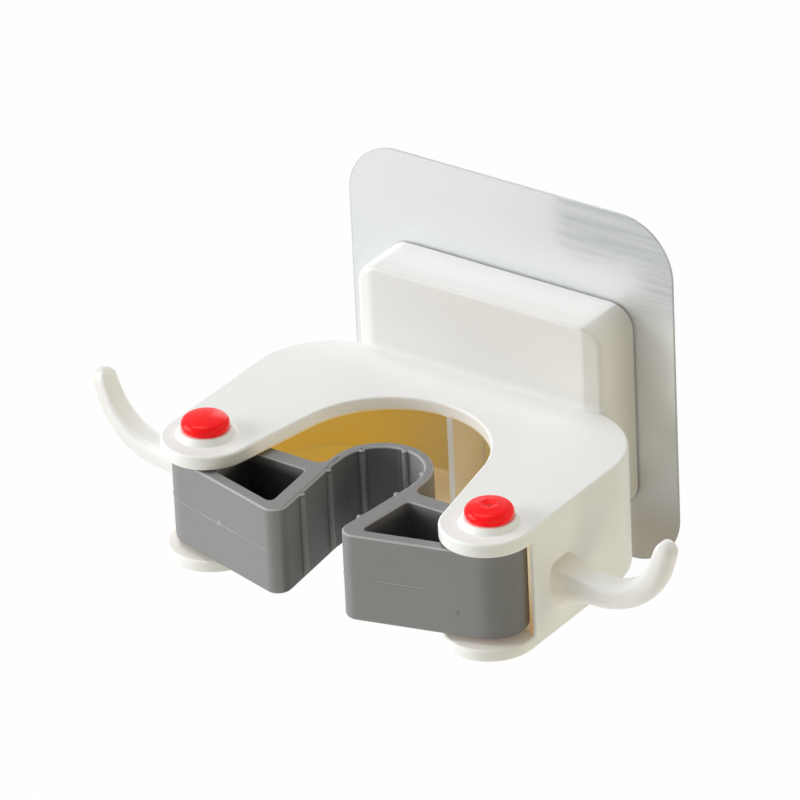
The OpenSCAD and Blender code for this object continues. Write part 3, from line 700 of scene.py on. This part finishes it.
barrel = (PIN_X, PIN_Y)
barrel_front = touch(TIP, barrel, BARREL_R, -1)
barrel_back = touch((JAW_BACK_X, JAW_BACK_Y), barrel, BARREL_R, 1)
seat_end, grip = (GRIP_R, SEAT_END), (0.0, GRIP_Y)
face_lean, front_lean = unit(TIP, seat_end), unit(TIP, barrel_front)


def half_outline(name, rib_height):
    """Plan of a half as if on the right, anticlockwise from the seat's back, and its outside's span."""
    face = unit(seat_end, TIP)
    path = grip_rib((0.0, GRIP_Y + GRIP_R), (1.0, 0.0), rib_height, (90.0, 180.0), 5)
    rib, half_rib = SEAT_RIB[name], math.degrees(RIB_R / GRIP_R)
    path += arc(grip, GRIP_R, 90.0 - half_rib, rib + half_rib, 20)[1:-1]
    turn = math.radians(rib)
    path += grip_rib(arc(grip, GRIP_R, rib, rib, 1)[0], (math.sin(turn), -math.cos(turn)), rib_height)
    path += arc(grip, GRIP_R, rib - half_rib, 0.0, 10)[1:]
    path += straight(path[-1], seat_end, 0.5) + [seat_end]
    for y in FACE_RIBS[name]:
        rib = grip_rib((GRIP_R + face[0] * (y - SEAT_END) / face[1], y), face, rib_height)
        path += straight(path[-1], rib[0], 0.6) + rib
    bend = [math.atan2(u[1], u[0]) - math.pi / 2 for u in (face, front_lean)]
    half = (math.pi - (bend[1] - bend[0])) / 2
    middle = (front_lean[0] - face[0], front_lean[1] - face[1])
    back = TIP_R / math.sin(half) / math.hypot(*middle)
    centre = (TIP[0] + middle[0] * back, TIP[1] + middle[1] * back)
    tip_arc = arc(centre, TIP_R, math.degrees(bend[0]), math.degrees(bend[1]), 14)
    path += straight(path[-1], tip_arc[0], 1.5) + tip_arc
    outside_start = len(path) - 10
    path += straight(path[-1], barrel_front, 3.0)
    turn = [math.degrees(math.atan2(p[1] - PIN_Y, p[0] - PIN_X)) for p in (barrel_front, barrel_back)]
    path += arc(barrel, BARREL_R, turn[0], turn[1], 36)
    corner = (GRIP_R + WEB_T, JAW_BACK_Y)
    path += straight(path[-1], (corner[0] + LEG_FILLET, corner[1]), 2.0)
    outside = range(outside_start, len(path))
    path += arc((corner[0] + LEG_FILLET, corner[1] + LEG_FILLET), LEG_FILLET, 270, 180, 8)
    path += straight(path[-1], (corner[0], GRIP_Y), 0.5)
    path += arc(grip, GRIP_R + WEB_T, 0.0, 90.0, 40)
    return path, outside


def pocket_outline():
    """Plan of a pocket: a four-sided hole with round corners, set in from the jaw's faces."""
    def meet(p, u, q, v):
        k = ((q[0] - p[0]) * v[1] - (q[1] - p[1]) * v[0]) / (u[0] * v[1] - u[1] * v[0])
        return p[0] + u[0] * k, p[1] + u[1] * k
    inner = (TIP[0] + POCKET_WALL * face_lean[1], TIP[1] - POCKET_WALL * face_lean[0])
    ahead = (TIP[0] - POCKET_FRONT * front_lean[1], TIP[1] + POCKET_FRONT * front_lean[0])
    end, rear = (PIN_X - BORE_R - BARREL_WALL, PIN_Y), (PIN_X, JAW_BACK_Y - POCKET_WALL)
    ends = [meet(inner, face_lean, ahead, front_lean), meet(ahead, front_lean, end, (0.0, 1.0)),
            meet(rear, (1.0, 0.0), end, (0.0, 1.0)), meet(inner, face_lean, rear, (1.0, 0.0))]
    path = []
    for i in range(4):
        into, away = unit(ends[i - 1], ends[i]), unit(ends[i], ends[(i + 1) % 4])
        start = math.degrees(math.atan2(into[1], into[0])) - 90
        turn = math.atan2(into[0] * away[1] - into[1] * away[0], into[0] * away[0] + into[1] * away[1])
        back = POCKET_R * math.tan(turn / 2)
        centre = (ends[i][0] - into[0] * back - into[1] * POCKET_R,
                  ends[i][1] - into[1] * back + into[0] * POCKET_R)
        path += arc(centre, POCKET_R, start, start + math.degrees(turn), 7)
    return path


def grey(level):
    """Neutral colour of one level."""
    return (level, level, level)


grey_coat, grey_shader, at = finish("soft_grey_rubber")
flow = grain(at, 70.0)
x, y, z = (across(at, axis) for axis in "XYZ")
off_middle = at.maths("ABSOLUTE", x)
GREY, GREY_DARK = (0.246, 0.248, 0.248), (0.216, 0.218, 0.218)
# Painted shade: the pockets are darkened nearly to black, the left jaw's most.
POCKET_PAINTED_SHADE, SEAT_PAINTED_SHADE, SEAT_PAINTED_LIGHT = (0.02, 0.02, 0.021), grey(0.03), grey(0.36)
POCKET_FACE, POCKET_AHEAD, POCKET_REAR = (3.6, 4.2), (2.3, 2.9), (-64.0, -63.4)
POCKET_END, POCKET_TOP = (31.5, 32.1), (-7.5, -4.6)
SEAT_WALL, SEAT_FACE, SEAT_FRONT = (10.4, 10.8), (0.4, 1.2), (-56.0, -55.0)
SEAT_HEIGHT, SEAT_DEPTH, SEAT_MIDDLE = (-24.0, -6.0), (-64.0, -52.0), (-3.0, 3.0)
from_face = (off_middle - TIP[0] * MM) * face_lean[1] - (y - TIP[1] * MM) * face_lean[0]
from_front = (y - TIP[1] * MM) * front_lean[0] - (off_middle - TIP[0] * MM) * front_lean[1]
in_pocket = (from_face.past(POCKET_FACE) * from_front.past(POCKET_AHEAD) * (1 - y.past(POCKET_REAR))
             * (1 - off_middle.past(POCKET_END)) * (1 - z.past(POCKET_TOP)))
in_seat = larger(1 - apart(off_middle, y - GRIP_Y * MM).past(SEAT_WALL),
                 (1 - from_face.past(SEAT_FACE)) * (1 - y.past(SEAT_FRONT)))
# Painted shade in the seat round the handle and on the jaws' inner faces: darker low down, and deep in on
# the left; deep in on the right it is painted lighter.
low_down, deep_in, to_right = 1 - z.past(SEAT_HEIGHT), y.past(SEAT_DEPTH), x.past(SEAT_MIDDLE)
# Painted highlight: the rounded top edges of the rubber are lighter where they turn up towards the light.
RIM_PAINTED_HIGHLIGHT, HIGHLIGHT_TURN, RIM_Z = grey(0.46), ((0.25, 0.5), (0.90, 0.985)), (-5.2, -4.7)
rim_highlight = facing(at, "Z").band(*HIGHLIGHT_TURN, scale=1.0) * z.past(RIM_Z)
# Painted shade: the outside of the right jaw's barrel darkens towards the wall.
BARREL_END_PAINTED_SHADE, BARREL_X = (0.09, 0.09, 0.083), (38.0, 47.5)
# Painted highlight and shadow along the parting line: a light line on the small ridge and a dark line just
# under it, patchy along its length.
SEAM_PAINTED_SHADOW, SEAM_SHADOW_SPAN = grey(0.10), ((-0.34, -0.20), (-0.08, 0.0))
SEAM_PAINTED_HIGHLIGHT, SEAM_HIGHLIGHT_SPAN, PATCHY_RANGE = grey(0.42), ((-0.06, 0.04), (0.10, 0.24)), (0.42, 0.60)
outer_face = (1 - in_seat) * (1 - in_pocket)
from_seam = z - clamp_mid * MM
patchy = grain(at, 110.0, 2.0).step(PATCHY_RANGE)
# Painted highlight on the grip ribs' crests, and painted shade in the seat at their feet.
CREST_PAINTED_HIGHLIGHT, CREST_SPAN = grey(0.40), ((0.45, 0.7), (0.78, 0.86))
HOLLOW_PAINTED_SHADE, HOLLOW_SPAN = grey(0.05), ((0.8, 0.95), (1.1, 1.6))
rib_spots = [(0.0, GRIP_Y + GRIP_R)]
for name, side in SIDES:
    turn = math.radians(SEAT_RIB[name])
    rib_spots.append((side * GRIP_R * math.cos(turn), GRIP_Y + GRIP_R * math.sin(turn)))
    rib_spots += [(side * (GRIP_R + (TIP[0] - GRIP_R) * (rib_y - SEAT_END) / (TIP[1] - SEAT_END)), rib_y)
                  for rib_y in FACE_RIBS[name]]
from_ribs = [apart(x - spot[0] * MM, y - spot[1] * MM) for spot in rib_spots]
from_rib = from_ribs[0]
for further in from_ribs[1:]:
    from_rib = at.maths("MINIMUM", from_rib, further)
below_rim = 1 - z.past(RIM_Z)
# The grey's own mottle, with the painted shade, light and highlights laid over it in turn.
rubber = paint(flow.tint(GREY_DARK, GREY),
               (in_seat * (0.12 + 0.16 * low_down + (1 - to_right) * (0.30 + 0.26 * deep_in)), SEAT_PAINTED_SHADE),
               (in_seat * to_right * deep_in * 0.6, SEAT_PAINTED_LIGHT),
               (in_pocket * (0.88 - 0.32 * to_right), POCKET_PAINTED_SHADE),
               (rim_highlight * 0.7, RIM_PAINTED_HIGHLIGHT),
               (outer_face * x.past(BARREL_X) * 0.42, BARREL_END_PAINTED_SHADE),
               (outer_face * from_seam.band(*SEAM_SHADOW_SPAN) * (0.4 + 0.2 * patchy), SEAM_PAINTED_SHADOW),
               (outer_face * from_seam.band(*SEAM_HIGHLIGHT_SPAN) * (0.26 + 0.36 * patchy), SEAM_PAINTED_HIGHLIGHT),
               (below_rim * from_rib.band(*CREST_SPAN) * 0.35, CREST_PAINTED_HIGHLIGHT),
               (below_rim * in_seat * from_rib.band(*HOLLOW_SPAN) * 0.55, HOLLOW_PAINTED_SHADE))
# Painted light and shade on the gate nubs: a light spot on the left jaw's nub and a dark one on the right
# jaw's.
GATE_HIGHLIGHT_AND_SHADE, GATE_SPAN, GATE_FACE = {"left": grey(0.48), "right": grey(0.15)}, (0.3, 0.8), (1.0, 2.0)
for name, side in SIDES:
    from_gate = apart(side * x - GATE[name][0] * MM, z - GATE[name][1] * MM)
    mark = (1 - from_front.past(GATE_FACE)) * (1 - from_gate.past(GATE_SPAN))
    rubber = (mark * 0.5).tint(rubber, GATE_HIGHLIGHT_AND_SHADE[name])
feed(grey_shader, Base_Color=rubber, Roughness=0.5 + 0.14 * flow,
     Normal=relief(grain(at, 3000.0, 2.0), 0.12, 0.00003))
pocket_plan = pocket_outline()
pocket_rows = [(CLAMP_TOP - POCKET_DEPTH + rise, inset) for inset, rise in rounding(POCKET_FOOT_R, 4)]
pocket_rows += [(CLAMP_TOP - POCKET_RIM_R * (1 - math.sin(a)), -POCKET_RIM_R * (1 - math.cos(a)))
                for a in [math.pi / 2 * k / 5 for k in range(6)]]
pocket_rows.append((CLAMP_TOP + 1.0, -POCKET_RIM_R))
for name, side in SIDES:
    ribbed_plan, outside = half_outline(name, RIB_R)
    smooth_plan = half_outline(name, 0.0)[0]
    seam_end = (len(ribbed_plan) - 1,)
    not_outside = [k for k in range(len(ribbed_plan)) if k not in outside]
    half_rows = [(CLAMP_FOOT + rise, smooth_plan, inset, seam_end)
                 for inset, rise in rounding(FOOT_EDGE, 5)]
    half_rows += [(CLAMP_FOOT + FOOT_EDGE + RIB_FOOT, ribbed_plan, 0.0, seam_end)]
    half_rows += [(clamp_mid + up * SEAM_HALF, ribbed_plan, -SEAM_RIDGE * (up == 0), not_outside)
                  for up in (-1, 0, 1)]
    half_rows += [(CLAMP_TOP - rise, ribbed_plan, inset, seam_end)
                  for inset, rise in reversed(rounding(RIM_EDGE, 5))]
    half = skin(name + "_clamp_half", [[(side * x, y, z) for x, y in draw_in(plan, inset, kept)]
                                       for z, plan, inset, kept in half_rows])
    pocket = [[(side * x, y, z) for x, y in draw_in(pocket_plan, inset)] for z, inset in pocket_rows]
    merge(half, skin("pocket", pocket), "DIFFERENCE")
    merge(half, bore((side * PIN_X, PIN_Y), CLAMP_FOOT, CLAMP_TOP), "DIFFERENCE")
    gate_x, gate_z = GATE[name]
    gate_y = TIP[1] + (gate_x - TIP[0]) * front_lean[1] / front_lean[0]
    gate = [[(side * (gate_x + front_lean[1] * rise) + r * math.cos(t) * front_lean[0],
              gate_y - front_lean[0] * rise + side * r * math.cos(t) * front_lean[1],
              gate_z + r * math.sin(t))
             for t in [math.pi * k / 8 for k in range(16)]] for r, rise in GATE_RINGS]
    merge(half, skin("gate", gate), "UNION")
    if name == "left":
        merge(half, bar("tongue", *TONGUE), "UNION")
    settle(half)
    dress(half, grey_coat)
    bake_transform(half)
    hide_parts(name + "_jaw", name + "_web")

# Studio: a pale floor well below the rack, soft lamps from the left, above and the right,
# and the camera at the photograph's angle. Places here are in metres.
FLOOR_Z, FLOOR_HALF = -0.45, 9
FLOOR_PALE, FLOOR_PALER, WHITE_SHARE = grey(0.90), grey(0.93), 0.96
floor = bpy.data.objects.new("floor", bpy.data.meshes.new("floor"))
floor_ring = [(x * FLOOR_HALF, y * FLOOR_HALF, FLOOR_Z) for x, y in ((-1, -1), (1, -1), (1, 1), (-1, 1))]
floor.data.from_pydata(floor_ring, [], [(0, 1, 2, 3)])
bpy.context.scene.collection.objects.link(floor)
floor_coat, floor_shader, at = finish("pale_floor")
floor_shader.inputs["Roughness"].default_value = 0.9
feed(floor_shader, Base_Color=grain(at, 3.0).tint(FLOOR_PALE, FLOOR_PALER))


def seen_as_white(wire):
    """1 for rays that show the backdrop: from the camera, or off gloss or through glass."""
    direct, gloss, glass = (wire.node("ShaderNodeLightPath", out=ray)
                            for ray in ("Is Camera Ray", "Is Glossy Ray", "Is Transmission Ray"))
    return larger(larger(direct, gloss), glass)


glow = at.node("ShaderNodeEmission", None, {"Color": (1, 1, 1, 1), "Strength": 1.0})
lit = at.node("ShaderNodeMixShader", None, {0: seen_as_white(at) * WHITE_SHARE,
                                            1: Wire(at.tree, floor_shader.outputs[0]), 2: glow})
from_below = at.node("ShaderNodeNewGeometry", out=6)
clear = at.node("ShaderNodeBsdfTransparent")
shown = at.node("ShaderNodeMixShader", None, {0: from_below, 1: lit, 2: clear})
at.tree.links.new(shown.socket, at.tree.nodes["Material Output"].inputs["Surface"])
dress(floor, floor_coat)

AMBIENT = 0.10
world = bpy.data.worlds.new("studio")
bpy.context.scene.world = world
world.use_nodes = True
sky = Wire(world.node_tree)
level = seen_as_white(sky) * (1.0 - AMBIENT) + AMBIENT
backdrop = sky.node("ShaderNodeBackground", None, {"Color": (1, 1, 1, 1), "Strength": level})
world.node_tree.links.new(backdrop.socket, world.node_tree.nodes["World Output"].inputs["Surface"])

AIM, COOL, WARM = (0.0, -0.04, 0.0), (1.0, 1.0, 1.0), (1.0, 0.925, 0.67)


def lamp(name, place, size, watts, tone=COOL):
    """Square soft box that shines from a place at the rack."""
    light = bpy.data.lights.new(name, "AREA")
    light.size, light.energy, light.color = size, watts, tone
    box = bpy.data.objects.new(name, light)
    box.location = place
    box.rotation_mode = "QUATERNION"
    box.rotation_quaternion = (Vector(AIM) - Vector(place)).to_track_quat("-Z", "Y")
    bpy.context.scene.collection.objects.link(box)


lamp("key", (-1.25, -0.98, 0.36), 1.2, 24.5)
lamp("top_left", (-0.45, -0.06, 1.52), 1.0, 13.0)
lamp("low_right", (1.36, -0.83, -0.28), 0.9, 7.4, WARM)
lamp("back_right", (1.36, 0.68, 0.44), 0.9, 5.4, WARM)
lamp("behind", (-0.5, 1.5, 0.5), 0.9, 5.5)

AZIMUTH, ELEVATION, ROLL = (math.radians(a) for a in (36.36, 28.96, -2.71))
LOOK_AT, VIEW_RANGE = Vector((-0.01483, -0.0258, -0.00444)), 1.9031
FOCAL_PIXELS, PICTURE_PIXELS, SENSOR_WIDTH, VIEW_END = 8257.0, 800, 36.0, 30.0
back = Vector((math.sin(AZIMUTH) * math.cos(ELEVATION), -math.cos(AZIMUTH) * math.cos(ELEVATION),
               math.sin(ELEVATION)))
level_right = Vector((math.cos(AZIMUTH), math.sin(AZIMUTH), 0.0))
level_up = back.cross(level_right)
right = math.cos(ROLL) * level_right + math.sin(ROLL) * level_up
up = math.cos(ROLL) * level_up - math.sin(ROLL) * level_right
camera = bpy.data.objects.new("camera", bpy.data.cameras.new("camera"))
camera.data.sensor_width = SENSOR_WIDTH
camera.data.lens = FOCAL_PIXELS / PICTURE_PIXELS * SENSOR_WIDTH
camera.data.clip_end = VIEW_END
turned = Matrix((right, up, back)).transposed().to_4x4()
camera.matrix_world = Matrix.Translation(LOOK_AT + back * VIEW_RANGE) @ turned
bpy.context.scene.collection.objects.link(camera)
bpy.context.scene.camera = camera
bpy.context.scene.view_settings.view_transform = "Standard"
